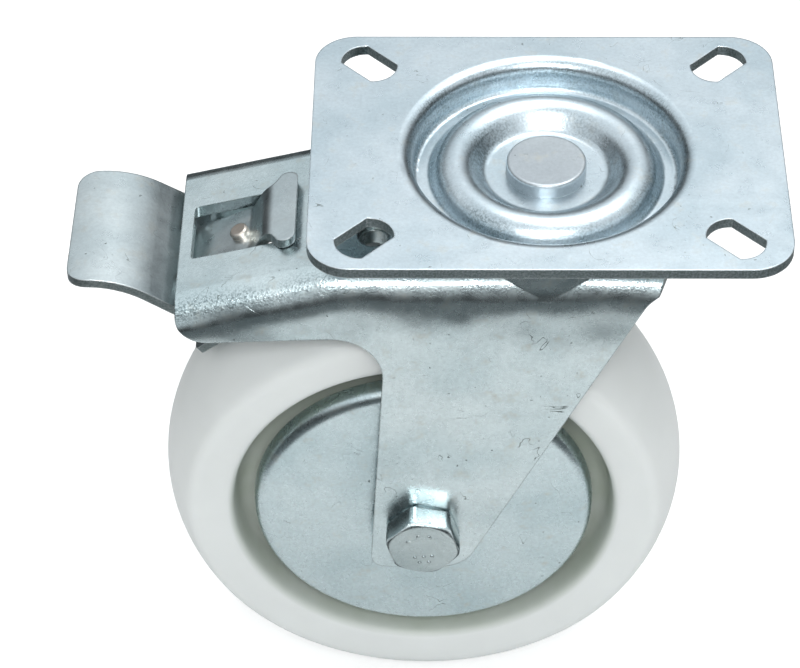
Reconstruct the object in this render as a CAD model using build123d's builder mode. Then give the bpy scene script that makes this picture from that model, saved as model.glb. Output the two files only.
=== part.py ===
"""Swivel castor with a top plate, a rocker brake and a 125 mm nylon wheel.

Frame: origin on the swivel axis at the plate's upper face, +Z up, X along the plate's length,
Y along the axle. The fork trails towards -X. All sizes are millimetres.
"""

import os
from math import asin, atan2, cos, degrees, radians, sin, tan

from build123d import *

# ---- fits shared by several pieces ----
ball_running_fit = 0.05
pin_running_fit = 0.1

# ---- mounting plate ----
plate_length = 105.0
plate_width = 80.0
plate_thickness = 2.5
plate_corner_radius = 9.5
slot_margin_x = 12.5
slot_margin_y = 10.0
slot_width = 8.5
slot_length = 13.5
slot_end_radius = 5.7
slot_angle = 45.0
slot_spacing_x = plate_length - 2 * slot_margin_x
slot_spacing_y = plate_width - 2 * slot_margin_y

# ---- swivel head: ball rows, races and king pin ----
upper_pitch_radius = 20.4
upper_race_depth = 7.5
lower_pitch_radius = 12.2
swivel_ball_radius = 2.5
upper_ball_count = 24
lower_ball_count = 14
race_radius = swivel_ball_radius + ball_running_fit
dish_rim_radius = 30.3
dish_floor_radius = 29.8
dish_join_radius = 34.3
dish_floor_depth = 7.5
dish_centre_depth = 7.1
crest_outer_angle = 62.0
crest_inner_angle = 48.0
kingpin_shank_radius = 7.0
kingpin_head_radius = 9.0
kingpin_head_height = 3.6
kingpin_rivet_radius = 10.5
kingpin_rivet_height = 3.2
lower_cup_radius = 18.4
lower_cup_thickness = 3.0
lower_cup_rim_height = 3.2

# ---- fork, one pressed sheet ----
sheet = 3.0
fork_width = 51.1
fork_bend_radius = 6.5
crown_depth = 17.0
tail_end_x = -83.0
tail_slope = 14.8
tail_start_x = -48.3
tail_bend_radius = 25.0
front_x = 30.5
front_arc_radius = 60.0
leg_bottom_depth = 13.2
leg_rear_bottom = -40.3
leg_rear_top = -35.9
leg_front_top = 22.6
leg_front_lean = 25.0
flange_depth = 34.0
flange_end_depth = 36.1
shoulder_depth = 23.5
boss_radius = 23.4
boss_base_radius = 24.6
boss_rim_depth = 9.3
boss_floor_depth = 10.5
boss_floor_radius = 16.4
fork_bore_radius = 8.5
window_half_width = 8.8
window_end_x = -60.9
lip_half_width = 7.6
lip_radius = 1.4
lip_drop = 3.6

# ---- axle and wheel ----
trail = 27.6
axle_depth = 97.4
wheel_radius = 62.5
wheel_half_width = 20.0
tread_shoulder_radius = 55.7
tread_shoulder_round = 3.0
recess_radius = 45.9
recess_edge_y = 19.0
recess_floor_y = 9.0
hub_radius = 24.5
hub_face_y = 17.0
bolt_radius = 5.0
bolt_across_flats = 16.0
bolt_head_height = 6.4
bolt_length = 65.0
nut_height = 9.5
nut_collar_height = 2.6
washer_radius = 10.0
washer_thickness = 2.0
tube_radius = 7.5
tube_bore_radius = 5.2
distance_ring_wall = 1.6
bearing_outer_radius = 17.5
bearing_face_y = 17.5
bearing_width = 11.0
bearing_ball_count = 8
bearing_room = bearing_outer_radius - tube_radius
bearing_pitch_radius = (bearing_outer_radius + tube_radius) / 2
bearing_ball_radius = 0.295 * bearing_room
outer_ring_inner_radius = bearing_pitch_radius + 0.21 * bearing_room
inner_ring_outer_radius = bearing_pitch_radius - 0.22 * bearing_room
cage_radius_low = bearing_pitch_radius - 0.08 * bearing_room
cage_radius_high = bearing_pitch_radius + 0.08 * bearing_room
cage_half_width = 3.7
guard_sheet = 1.0
guard_radius = 40.7
guard_face_y = 19.8
guard_edge_y = 14.7
guard_step_rise = 1.1
guard_step_run = 1.6
guard_dome_start = 6.0
guard_bends = [1.0, 1.0, 12.0, 2.0]

# ---- brake rocker, shoe and spring ----
rocker_sheet = 2.2
rocker_gap = 0.3
brake_travel = 8.0
pad_end_x = -107.6
pad_crest_x = -102.0
pad_radius = 24.0
pad_fall = 33.0
pad_half_width = 19.4
pad_end_half_width = 18.6
pad_corner_radius = 5.0
pad_tuck_x = -77.0
arm_rise = 25.0
arm_half_width = 7.9
riser_slope = 62.0
riser_top_x = -63.4
tab_end_x = -56.2
tab_half_width = 11.6
tab_flare_x = -62.0
rivet_x = -69.2
rivet_radius = 2.2
rivet_shank_radius = 1.7
rivet_head_height = 1.6
shoe_sheet = 2.0
shoe_half_width = 6.5
shoe_top_x = -65.8
shoe_bend_x = -75.0
shoe_touch_gap = 0.12
shoe_touch_angle = 136.0
shoe_half_length = 4.5
spring_sheet = 1.2
spring_gap = 0.15
spring_rivet_x = -38.6
spring_rivet_y = 10.2
spring_rivet_radius = 3.6
spring_rivet_bore = 3.1
spring_rivet_recess = 1.2
spring_rivet_flange = 5.0
spring_rivet_flange_height = 0.7
spring_front_x = -31.0
spring_bend_x = -44.5
prong_inner = 10.5
prong_outer = 15.5
prong_end_x = -85.0

# ---- places worked out from the sizes above ----
half_fork = fork_width / 2
inner_half_fork = half_fork - sheet
axle = Vector(-trail, 0, -axle_depth)
axle_line = Axis(axle, (0, 1, 0))
axle_plane = Plane(origin=axle, x_dir=(1, 0, 0), z_dir=(0, 0, 1))
side_plane = Plane(origin=(0, 0, 0), x_dir=(1, 0, 0), z_dir=(0, -1, 0))
slope = tan(radians(tail_slope))
tail_end_depth = crown_depth + (tail_start_x - tail_end_x) * slope
hinge_x = tail_end_x + 0.1 + lip_radius
hinge_z = -tail_end_depth - lip_drop
lower_race_depth = boss_floor_depth + sheet + 0.7 * swivel_ball_radius
cup_top_depth = lower_race_depth + 0.7 * swivel_ball_radius
cup_bottom_depth = cup_top_depth + lower_cup_thickness


def meet(p, angle_p, q, angle_q):
    """Point where the line through p at angle_p crosses the line through q at angle_q."""
    ax, ay = cos(radians(angle_p)), sin(radians(angle_p))
    bx, by = cos(radians(angle_q)), sin(radians(angle_q))
    run = ((q[0] - p[0]) * by - (q[1] - p[1]) * bx) / (ax * by - ay * bx)
    return (p[0] + run * ax, p[1] + run * ay)


def shifted(path, distance):
    """The open path moved sideways by distance (to the right of its direction), corners mitred."""
    count = len(path)
    moved = []
    for i in range(count):
        before = path[max(i - 1, 0)]
        here = path[i]
        after = path[min(i + 1, count - 1)]
        first = atan2(here[1] - before[1], here[0] - before[0]) if i > 0 else None
        last = atan2(after[1] - here[1], after[0] - here[0]) if i < count - 1 else None
        first = last if first is None else first
        last = first if last is None else last
        middle = atan2(sin(first) + sin(last), cos(first) + cos(last))
        reach = distance / cos(middle - first)
        moved.append((here[0] + reach * sin(middle), here[1] - reach * cos(middle)))
    return moved


def turns_right(path, i):
    """True where the path bends to the right at its corner i."""
    (ax, ay), (bx, by), (cx, cy) = path[i - 1:i + 2]
    return (bx - ax) * (cy - by) - (by - ay) * (cx - bx) < 0


def round_corners(sketch, corners):
    """Round the sketch's corner nearest to each point by the radius given with it."""
    for (x, y), radius in corners:
        if radius > 0:
            fillet(sketch.vertices().sort_by_distance((x, y, 0))[0], radius)


def draw_outline(sketch, points, radii):
    """Closed outline through the points, each corner rounded by its own radius."""
    Polygon(*points, align=None)
    round_corners(sketch, list(zip(points, radii)))


def draw_strip(sketch, path, inner_radii, thickness):
    """Section of a bent sheet: the path is one side, the sheet lies to the right of it.

    Each bend keeps an even thickness, so its outer radius is the inner one plus the sheet.
    """
    other = shifted(path, thickness)
    Polygon(*path, *reversed(other), align=None)
    corners = []
    for i in range(1, len(path) - 1):
        inner = inner_radii[i - 1]
        if turns_right(path, i):
            corners += [(path[i], inner + thickness), (other[i], inner)]
        else:
            corners += [(path[i], inner), (other[i], inner + thickness)]
    round_corners(sketch, corners)


def follows_top(edge, depth):
    """True for an edge whose ends lie on the fork's top line, set down by depth square to it."""
    for corner in edge.vertices():
        flat = -crown_depth - depth
        falling = (-crown_depth - depth / cos(radians(tail_slope))
                   - (tail_start_x - corner.X) * slope)
        if abs(corner.Z - min(flat, falling)) > 0.02:
            return False
    return edge.bounding_box().size.X > 0.5


def save(part, name):
    """Label one piece and write it to its own file."""
    part.label = name
    export_step(part, f"parts/{name}.step")


os.makedirs("parts", exist_ok=True)

# ================= mounting plate =================
crest_top_radius = race_radius + plate_thickness
crest_centre = (upper_pitch_radius, -upper_race_depth)


def crest_tangent(angle, side):
    """Point where the crest's round runs into its outer (side 1) or inner (side -1) slope."""
    return (crest_centre[0] + side * crest_top_radius * sin(radians(angle)),
            crest_centre[1] + crest_top_radius * cos(radians(angle)))


outer_slope = crest_tangent(crest_outer_angle, 1)
inner_slope = crest_tangent(crest_inner_angle, -1)
crest = meet(outer_slope, -crest_outer_angle, inner_slope, crest_inner_angle)
dish_path = [
    (kingpin_shank_radius, -dish_centre_depth),
    meet((0, -dish_centre_depth), 0, inner_slope, crest_inner_angle),
    crest,
    meet((0, -dish_floor_depth), 0, outer_slope, -crest_outer_angle),
    (dish_floor_radius, -dish_floor_depth),
    (dish_rim_radius, 0),
    (dish_join_radius + 1, 0),
]
dish_bends = [2.0, race_radius, 1.2, 1.2, 0.6]

with BuildSketch() as slot_shape:
    SlotCenterToCenter(slot_length - 2 * slot_end_radius, 2 * slot_end_radius)
    Rectangle(slot_length, slot_width, mode=Mode.INTERSECT)

with BuildPart() as top_plate:
    with BuildSketch() as blank:
        RectangleRounded(plate_length, plate_width, plate_corner_radius)
        Circle(dish_join_radius, mode=Mode.SUBTRACT)
        for side_x in (-1, 1):
            for side_y in (-1, 1):
                turn = slot_angle * side_x * side_y
                with Locations(Location((side_x * slot_spacing_x / 2, side_y * slot_spacing_y / 2),
                                        turn)):
                    add(slot_shape.sketch, mode=Mode.SUBTRACT)
    extrude(amount=-plate_thickness)
    with BuildSketch(side_plane) as dish:
        draw_strip(dish, dish_path, dish_bends, plate_thickness)
    revolve(axis=Axis.Z)
save(top_plate.part, "top_plate")

# ================= king pin, ball rows and lower race =================
cup_rim_top = cup_top_depth - lower_cup_rim_height
with BuildPart() as lower_race:
    with BuildSketch(side_plane) as cup:
        draw_outline(
            cup,
            [(kingpin_shank_radius, -cup_bottom_depth), (lower_cup_radius, -cup_bottom_depth),
             (lower_cup_radius, -cup_rim_top), (lower_cup_radius - 1.5, -cup_rim_top),
             (lower_cup_radius - 1.5, -cup_top_depth), (kingpin_shank_radius, -cup_top_depth)],
            [0, 2.2, 0.4, 0.4, 0.8, 0])
        with Locations((lower_pitch_radius, -lower_race_depth)):
            Circle(race_radius, mode=Mode.SUBTRACT)
    revolve(axis=Axis.Z)
save(lower_race.part, "lower_race")

with BuildPart() as kingpin:
    with BuildSketch(side_plane) as pin:
        head_top = -dish_centre_depth + kingpin_head_height
        rivet_low = -cup_bottom_depth - kingpin_rivet_height
        draw_outline(
            pin,
            [(0, rivet_low), (kingpin_rivet_radius - 2.5, rivet_low),
             (kingpin_rivet_radius, -cup_bottom_depth - 1), (kingpin_rivet_radius, -cup_bottom_depth),
             (kingpin_shank_radius, -cup_bottom_depth), (kingpin_shank_radius, -dish_centre_depth),
             (kingpin_head_radius, -dish_centre_depth), (kingpin_head_radius, head_top),
             (0, head_top)],
            [0, 1.5, 0.5, 0, 0, 0, 0, 0.7, 0])
    revolve(axis=Axis.Z)
save(kingpin.part, "kingpin")

with BuildPart() as upper_balls:
    with Locations((0, 0, -upper_race_depth)):
        with PolarLocations(upper_pitch_radius, upper_ball_count):
            Sphere(swivel_ball_radius)
save(upper_balls.part, "upper_balls")

with BuildPart() as lower_balls:
    with Locations((0, 0, -lower_race_depth)):
        with PolarLocations(lower_pitch_radius, lower_ball_count):
            Sphere(swivel_ball_radius)
save(lower_balls.part, "lower_balls")

# ================= fork: one pressed sheet =================
fork_side = [
    (tail_end_x, -tail_end_depth), (tail_start_x, -crown_depth), (front_x, -crown_depth),
    (leg_front_top, -shoulder_depth),
    (leg_front_top - (axle_depth + leg_bottom_depth - shoulder_depth) * tan(radians(leg_front_lean)),
     -axle_depth - leg_bottom_depth),
    (leg_rear_bottom, -axle_depth - leg_bottom_depth), (leg_rear_top, -flange_depth),
    (tail_end_x, -flange_end_depth)]
fork_side_radii = [0, tail_bend_radius, 0, 8, 9, 3.5, 12, 7]
inside_depth = axle_depth + 2 * leg_bottom_depth
fork_inside = [
    (tail_end_x - 20, -tail_end_depth - sheet / cos(radians(tail_slope)) - 20 * slope),
    meet((tail_end_x, -tail_end_depth - sheet / cos(radians(tail_slope))), tail_slope,
         (0, -crown_depth - sheet), 0),
    (front_x + 20, -crown_depth - sheet), (front_x + 20, -inside_depth),
    (tail_end_x - 20, -inside_depth)]
with BuildPart() as channel:
    with BuildSketch(side_plane) as hollow:
        draw_outline(hollow, fork_inside, [0, tail_bend_radius - sheet, 0, 0, 0])
    extrude(amount=inner_half_fork, both=True)
    ceiling_edges = channel.edges().filter_by(
        lambda edge: abs(edge.center().Y) > 1 and follows_top(edge, sheet))
    fillet(ceiling_edges, fork_bend_radius - sheet)

with BuildPart() as fork:
    with BuildSketch(side_plane) as outside:
        draw_outline(outside, fork_side, fork_side_radii)
    extrude(amount=half_fork, both=True)
    top_edges = fork.edges().filter_by(
        lambda edge: abs(edge.center().Y) > 1 and follows_top(edge, 0))
    fillet(top_edges, fork_bend_radius)
    # the turret that carries both ball rows rises out of the crown
    with BuildSketch(side_plane) as turret:
        draw_outline(
            turret,
            [(0, -crown_depth - 2 * sheet), (boss_base_radius + 1, -crown_depth - 2 * sheet),
             (boss_base_radius, -crown_depth), (boss_radius, -boss_rim_depth),
             (boss_floor_radius, -boss_rim_depth),
             (boss_floor_radius - 1.2, -boss_floor_depth), (0, -boss_floor_depth)],
            [0, 0, 0, 1.0, 0.4, 0.8, 0])
    revolve(axis=Axis.Z)
    add(channel.part, mode=Mode.SUBTRACT)
    with BuildSketch(side_plane) as turret_inside:
        draw_outline(
            turret_inside,
            [(0, -crown_depth - 3 * sheet), (boss_base_radius - sheet + 1, -crown_depth - 3 * sheet),
             (boss_base_radius - sheet, -crown_depth - sheet),
             (boss_radius - sheet + 0.4, -boss_rim_depth - sheet),
             (boss_floor_radius - 0.4, -boss_rim_depth - sheet),
             (boss_floor_radius - 1.6, -boss_floor_depth - sheet),
             (0, -boss_floor_depth - sheet)],
            [0, 0, 1.5, 2.0, 0.8, 0.4, 0])
    revolve(axis=Axis.Z, mode=Mode.SUBTRACT)
    with BuildSketch(side_plane) as races:
        with Locations((upper_pitch_radius, -upper_race_depth),
                       (lower_pitch_radius, -lower_race_depth)):
            Circle(race_radius)
    revolve(axis=Axis.Z, mode=Mode.SUBTRACT)
    with BuildSketch() as bore:
        Circle(fork_bore_radius)
        with Locations((spring_rivet_x, spring_rivet_y), (spring_rivet_x, -spring_rivet_y)):
            Circle(spring_rivet_radius)
    extrude(amount=-crown_depth - 2 * sheet, mode=Mode.SUBTRACT)
    # front of the crown, rounded in plan
    with BuildSketch() as front_trim:
        with Locations((front_x, 0)):
            Rectangle(front_x * 2, plate_width, align=(Align.CENTER, Align.CENTER))
        with Locations((front_x - front_arc_radius, 0)):
            Circle(front_arc_radius, mode=Mode.SUBTRACT)
    extrude(amount=-axle_depth, mode=Mode.SUBTRACT)
    # window for the rocker's arm, with the lip it rocks on at its outer end
    with BuildSketch() as window:
        window_length = window_end_x - (hinge_x + lip_radius)
        with Locations((window_end_x - window_length / 2, 0)):
            RectangleRounded(window_length, 2 * window_half_width, 1.0)
    extrude(amount=-flange_depth, mode=Mode.SUBTRACT)
    with BuildSketch(side_plane) as lip:
        with Locations((hinge_x, hinge_z)):
            Circle(lip_radius)
            Rectangle(2 * lip_radius, lip_drop - 1, align=(Align.CENTER, Align.MIN))
    extrude(amount=lip_half_width, both=True)
    with BuildSketch(side_plane) as axle_hole:
        with Locations((axle.X, axle.Z)):
            Circle(bolt_radius + pin_running_fit)
    extrude(amount=half_fork, both=True, mode=Mode.SUBTRACT)
save(fork.part, "fork")

# ================= wheel =================
bearing_inner_y = bearing_face_y - bearing_width
shoulder_y = bearing_inner_y
sides = ((1, "far"), (-1, "near"))


def mirrored(points):
    """The points of one half (y up to the middle plane) followed by their mirror images."""
    return points + [(x, -y) for x, y in reversed(points)]


with BuildPart() as wheel:
    with BuildSketch(axle_plane) as section:
        half = [(bearing_outer_radius - 2, shoulder_y), (bearing_outer_radius, shoulder_y),
                (bearing_outer_radius, hub_face_y), (hub_radius, hub_face_y),
                (hub_radius + 1.5, recess_floor_y), (recess_radius - 1.5, recess_floor_y),
                (recess_radius, recess_edge_y), (tread_shoulder_radius, wheel_half_width)]
        with BuildLine():
            Polyline(*half)
            ThreePointArc((tread_shoulder_radius, wheel_half_width), (wheel_radius, 0),
                          (tread_shoulder_radius, -wheel_half_width))
            Polyline(*[(x, -y) for x, y in half])
            Line(half[0], (half[0][0], -half[0][1]))
        make_face()
        for side in (1, -1):
            round_corners(section, [
                ((hub_radius, side * hub_face_y), 1.0),
                ((bearing_outer_radius, side * hub_face_y), 0.4),
                ((hub_radius + 1.5, side * recess_floor_y), 2.5),
                ((recess_radius - 1.5, side * recess_floor_y), 3.0),
                ((recess_radius, side * recess_edge_y), 1.8),
                ((tread_shoulder_radius, side * wheel_half_width), tread_shoulder_round)])
    revolve(axis=axle_line)
save(wheel.part, "wheel")

ball_track = bearing_ball_radius + ball_running_fit
for side, word in sides:
    middle = side * (bearing_face_y - bearing_width / 2)
    middle_plane = Plane(origin=axle + Vector(0, middle, 0), x_dir=(1, 0, 0), z_dir=(0, 1, 0))
    for ring, low, high in (
            ("outer_ring", outer_ring_inner_radius, bearing_outer_radius),
            ("inner_ring", tube_radius, inner_ring_outer_radius)):
        with BuildPart() as bearing_ring:
            with BuildSketch(axle_plane) as ring_section:
                with Locations(((low + high) / 2, middle)):
                    RectangleRounded(high - low, bearing_width, 0.4)
                with Locations((bearing_pitch_radius, middle)):
                    Circle(ball_track, mode=Mode.SUBTRACT)
            revolve(axis=axle_line)
        save(bearing_ring.part, f"bearing_{ring}_{word}")
    with BuildPart() as bearing_balls:
        with Locations(middle_plane):
            with PolarLocations(bearing_pitch_radius, bearing_ball_count):
                Sphere(bearing_ball_radius)
    save(bearing_balls.part, f"bearing_balls_{word}")
    with BuildPart() as cage:
        with BuildSketch(axle_plane) as cage_section:
            with Locations(((cage_radius_low + cage_radius_high) / 2, middle)):
                Rectangle(cage_radius_high - cage_radius_low, 2 * cage_half_width)
        revolve(axis=axle_line)
        with Locations(middle_plane):
            with PolarLocations(bearing_pitch_radius, bearing_ball_count):
                Cylinder(bearing_ball_radius + 2 * ball_running_fit, bearing_outer_radius / 2,
                         rotation=(0, 90, 0), mode=Mode.SUBTRACT)
    save(cage.part, f"bearing_cage_{word}")
    # thread guard: a thin dished cap clamped by its centre
    guard_seat_y = bearing_face_y
    with BuildPart() as guard:
        with BuildSketch(axle_plane) as guard_section:
            guard_path = [(inner_ring_outer_radius - 0.3, guard_seat_y),
                          (inner_ring_outer_radius + guard_step_run, guard_seat_y + guard_step_rise),
                          (bearing_outer_radius + guard_dome_start, guard_face_y - guard_sheet),
                          (guard_radius - guard_sheet - 0.4, guard_face_y - guard_sheet - 0.3),
                          (guard_radius - guard_sheet, guard_edge_y)]
            guard_path = [(tube_radius, guard_seat_y)] + guard_path
            shell_path, shell_bends = [(x, side * y) for x, y in guard_path], guard_bends
            if side > 0:
                shell_path, shell_bends = shell_path[::-1], shell_bends[::-1]
            draw_strip(guard_section, shell_path, shell_bends, guard_sheet)
        revolve(axis=axle_line)
    save(guard.part, f"thread_guard_{word}")
    with BuildPart() as outer_spacer:
        with BuildSketch(axle_plane) as spacer_section:
            seat = guard_seat_y + guard_sheet
            with Locations((tube_radius + distance_ring_wall / 2,
                            side * (seat + inner_half_fork) / 2)):
                Rectangle(distance_ring_wall, inner_half_fork - seat)
        revolve(axis=axle_line)
    save(outer_spacer.part, f"distance_ring_{word}")

with BuildPart() as distance_sleeve:
    with BuildSketch(axle_plane) as sleeve_section:
        with Locations((tube_radius + distance_ring_wall / 2, 0)):
            Rectangle(distance_ring_wall, 2 * bearing_inner_y)
    revolve(axis=axle_line)
save(distance_sleeve.part, "distance_sleeve")

with BuildPart() as axle_tube:
    with BuildSketch(axle_plane) as tube_section:
        with Locations(((tube_radius + tube_bore_radius) / 2, 0)):
            Rectangle(tube_radius - tube_bore_radius, 2 * inner_half_fork)
    revolve(axis=axle_line)
save(axle_tube.part, "axle_tube")

# ================= axle bolt, washer and nut =================
hexagon_turn = -13.3
head_plane = Plane(origin=axle + Vector(0, -half_fork, 0), x_dir=(1, 0, 0), z_dir=(0, -1, 0))
nut_seat_y = half_fork + washer_thickness
nut_plane = Plane(origin=axle + Vector(0, nut_seat_y, 0), x_dir=(1, 0, 0), z_dir=(0, 1, 0))
corner_radius = bolt_across_flats / 2 / cos(radians(30))


def chamfer_cone(start, height, far_side):
    """Cone, round the axle, that cuts the corners of a hexagon off at its outer face."""
    reach = corner_radius + 1
    flat = bolt_across_flats / 2 - 0.35
    drop = (reach - flat) * tan(radians(28))
    with BuildSketch(axle_plane) as cone:
        Polygon((0, start), (reach, start), (reach, far_side * (abs(start) + height - drop)),
                (flat, far_side * (abs(start) + height)), (0, far_side * (abs(start) + height)),
                align=None)
    return revolve(cone.sketch, axis=axle_line, mode=Mode.PRIVATE)


with BuildPart() as axle_bolt:
    with BuildSketch(head_plane) as head:
        RegularPolygon(bolt_across_flats / 2, 6, major_radius=False, rotation=hexagon_turn)
    extrude(amount=bolt_head_height)
    add(chamfer_cone(-half_fork, bolt_head_height, -1), mode=Mode.INTERSECT)
    with BuildSketch(head_plane) as shank:
        Circle(bolt_radius)
    extrude(amount=-bolt_length)
    chamfer(axle_bolt.edges().group_by(Axis.Y)[-1], 1.0)
save(axle_bolt.part, "axle_bolt")

with BuildPart() as nut_washer:
    with BuildSketch(nut_plane.offset(-washer_thickness)) as disc:
        Circle(washer_radius)
        Circle(bolt_radius + pin_running_fit, mode=Mode.SUBTRACT)
    extrude(amount=washer_thickness)
save(nut_washer.part, "nut_washer")

with BuildPart() as lock_nut:
    with BuildSketch(nut_plane) as flats:
        RegularPolygon(bolt_across_flats / 2, 6, major_radius=False, rotation=7)
    extrude(amount=nut_height - nut_collar_height)
    add(chamfer_cone(nut_seat_y, nut_height - nut_collar_height, 1), mode=Mode.INTERSECT)
    with BuildSketch(nut_plane.offset(nut_height - nut_collar_height)) as collar:
        Circle(bolt_across_flats / 2 - 0.9)
    extrude(amount=nut_collar_height)
    fillet(lock_nut.edges().group_by(Axis.Y)[-1], 1.2)
    with BuildSketch(nut_plane) as thread_bore:
        Circle(bolt_radius)
    extrude(amount=nut_height, mode=Mode.SUBTRACT)
save(lock_nut.part, "lock_nut")

# ================= brake rocker =================
valley_radius = lip_radius + pin_running_fit
hinge = (hinge_x, hinge_z)


def valley_tangent(angle):
    """Point of the rocker's valley whose surface lies at this angle to the level."""
    return (hinge[0] + valley_radius * sin(radians(angle)),
            hinge[1] - valley_radius * cos(radians(angle)))


def turned(point, angle):
    """The point turned about the rocker's hinge; a positive angle lowers the pad."""
    dx, dz = point[0] - hinge[0], point[1] - hinge[1]
    c, s = cos(radians(angle)), sin(radians(angle))
    return (hinge[0] + dx * c - dz * s, hinge[1] + dx * s + dz * c)


def tab_height(x):
    """Height of the release tab's upper side, parallel to the tail under it."""
    lift = (rocker_sheet + rocker_gap) / cos(radians(tail_slope))
    return -crown_depth - (tail_start_x - x) * slope + lift


pad_side = valley_tangent(-pad_fall)
arm_side = valley_tangent(arm_rise)
pad_rise = degrees(asin((pad_crest_x - pad_end_x) / pad_radius))
fall_x = pad_crest_x + pad_radius * sin(radians(pad_fall))
fall_z = pad_side[1] + (pad_side[0] - fall_x) * tan(radians(pad_fall))
pad_centre_z = fall_z - pad_radius * cos(radians(pad_fall))
pad_end = (pad_end_x, pad_centre_z + pad_radius * cos(radians(pad_rise)))
riser_top = (riser_top_x, tab_height(riser_top_x))
riser_foot = meet(riser_top, riser_slope, arm_side, arm_rise)
rocker_path = [
    (pad_end[0] - cos(radians(pad_rise)), pad_end[1] - sin(radians(pad_rise))),
    meet(pad_end, pad_rise, pad_side, -pad_fall),
    meet(pad_side, -pad_fall, arm_side, arm_rise),
    riser_foot,
    riser_top,
    (tab_end_x + 1, tab_height(tab_end_x + 1)),
]
arm_angle = radians(arm_rise)
rivet_point = (rivet_x, arm_side[1] + (rivet_x - arm_side[0]) * tan(arm_angle))
rivet_plane = Plane(origin=(rivet_point[0], 0, rivet_point[1]), x_dir=(0, 1, 0),
                    z_dir=(-sin(arm_angle), 0, cos(arm_angle)))

with BuildPart() as rocker:
    with BuildSketch(side_plane) as rocker_section:
        draw_strip(rocker_section, rocker_path,
                   [pad_radius - rocker_sheet, valley_radius, 2.0, 2.6], rocker_sheet)
    extrude(amount=pad_half_width, both=True)
    with BuildSketch() as rocker_plan:
        half_plan = [(pad_end_x, pad_end_half_width), (hinge_x - 3, pad_half_width),
                     (pad_tuck_x, pad_half_width), (pad_tuck_x, arm_half_width),
                     (tab_flare_x, arm_half_width), (tab_flare_x + 2.2, tab_half_width),
                     (tab_end_x, tab_half_width)]
        plan_radii = [pad_corner_radius, 0, 3.0, 1.5, 3.0, 2.0, 2.2]
        draw_outline(rocker_plan, mirrored(half_plan), plan_radii + plan_radii[::-1])
    extrude(amount=-flange_end_depth, mode=Mode.INTERSECT)
    with BuildSketch(rivet_plane) as rocker_hole:
        Circle(rivet_shank_radius)
    extrude(amount=-rocker_sheet, mode=Mode.SUBTRACT)
save(rocker.part, "brake_rocker")


def on_arm_underside(x):
    """Point on the underside of the rocker's arm."""
    return (x, arm_side[1] + (x - arm_side[0]) * tan(arm_angle) - rocker_sheet / cos(arm_angle))


# brake shoe: a leaf riveted under the arm; its flat foot meets the tread when the pad is down
touch = radians(shoe_touch_angle)
reach = wheel_radius + shoe_touch_gap + shoe_sheet
foot = (axle.X + reach * cos(touch), axle.Z + reach * sin(touch))
foot_ends = [(foot[0] + along * sin(touch), foot[1] - along * cos(touch))
             for along in (-shoe_half_length, shoe_half_length)]
foot_low, foot_high = [turned(end, -brake_travel) for end in foot_ends]

with BuildPart() as brake_shoe:
    with BuildSketch(side_plane) as shoe_section:
        draw_strip(shoe_section,
                   [foot_low, foot_high, on_arm_underside(shoe_bend_x),
                    on_arm_underside(shoe_top_x)], [2.0, 2.0], shoe_sheet)
    extrude(amount=shoe_half_width, both=True)
    with BuildSketch(rivet_plane) as shoe_hole:
        Circle(rivet_shank_radius)
    extrude(amount=-rocker_sheet - shoe_sheet, mode=Mode.SUBTRACT)
    fillet(brake_shoe.edges().filter_by(Axis.Y, reverse=True).filter_by(
        lambda edge: edge.length < shoe_sheet + 0.01 and edge.geom_type == GeomType.LINE), 1.0)
save(brake_shoe.part, "brake_shoe")

with BuildPart() as brake_rivet:
    with BuildSketch(rivet_plane) as rivet_top:
        Circle(rivet_radius)
    extrude(amount=rivet_head_height)
    chamfer(brake_rivet.faces().sort_by(Axis.Z)[-1].edges(), 0.35)
    with BuildSketch(rivet_plane) as rivet_shank:
        Circle(rivet_shank_radius)
    extrude(amount=-rocker_sheet - shoe_sheet)
    with BuildSketch(rivet_plane.offset(-rocker_sheet - shoe_sheet)) as rivet_foot:
        Circle(rivet_radius + 0.4)
    extrude(amount=-1.2)
save(brake_rivet.part, "brake_rivet")

# ================= rocker spring and its rivets =================
crown_underside = -crown_depth - sheet
spring_rest = hinge_z - valley_radius - rocker_sheet - spring_gap
spring_path = [(prong_end_x, spring_rest - 0.6), (prong_end_x + 2, spring_rest),
               (hinge_x + 3, spring_rest), (spring_bend_x, crown_underside),
               (spring_front_x, crown_underside)]
with BuildPart() as rocker_spring:
    with BuildSketch(side_plane) as spring_section:
        draw_strip(spring_section, spring_path, [1.5, 3.0, 3.0], spring_sheet)
    extrude(amount=prong_outer, both=True)
    with BuildSketch() as spring_cuts:
        slot_middle = (prong_end_x - 5 + spring_bend_x - 4) / 2
        with Locations((slot_middle, 0)):
            RectangleRounded(spring_bend_x - prong_end_x + 1, 2 * prong_inner, 4)
        with Locations((spring_rivet_x, spring_rivet_y), (spring_rivet_x, -spring_rivet_y)):
            Circle(spring_rivet_radius)
    extrude(amount=-2 * flange_end_depth, mode=Mode.SUBTRACT)
save(rocker_spring.part, "rocker_spring")

with BuildPart() as spring_rivets:
    low = crown_underside - spring_sheet
    for side in (1, -1):
        for base, radius, height in (
                (low - spring_rivet_flange_height, spring_rivet_flange, spring_rivet_flange_height),
                (low, spring_rivet_radius, sheet + spring_sheet - spring_rivet_recess)):
            with BuildSketch(Plane.XY.offset(base)) as ring:
                with Locations((spring_rivet_x, side * spring_rivet_y)):
                    Circle(radius)
                    Circle(spring_rivet_bore, mode=Mode.SUBTRACT)
            extrude(amount=height)
save(spring_rivets.part, "spring_rivets")
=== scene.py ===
"""Looks of a swivel castor with a slotted top plate, a pressed fork, a rocker brake and a nylon wheel."""

import math

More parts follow.
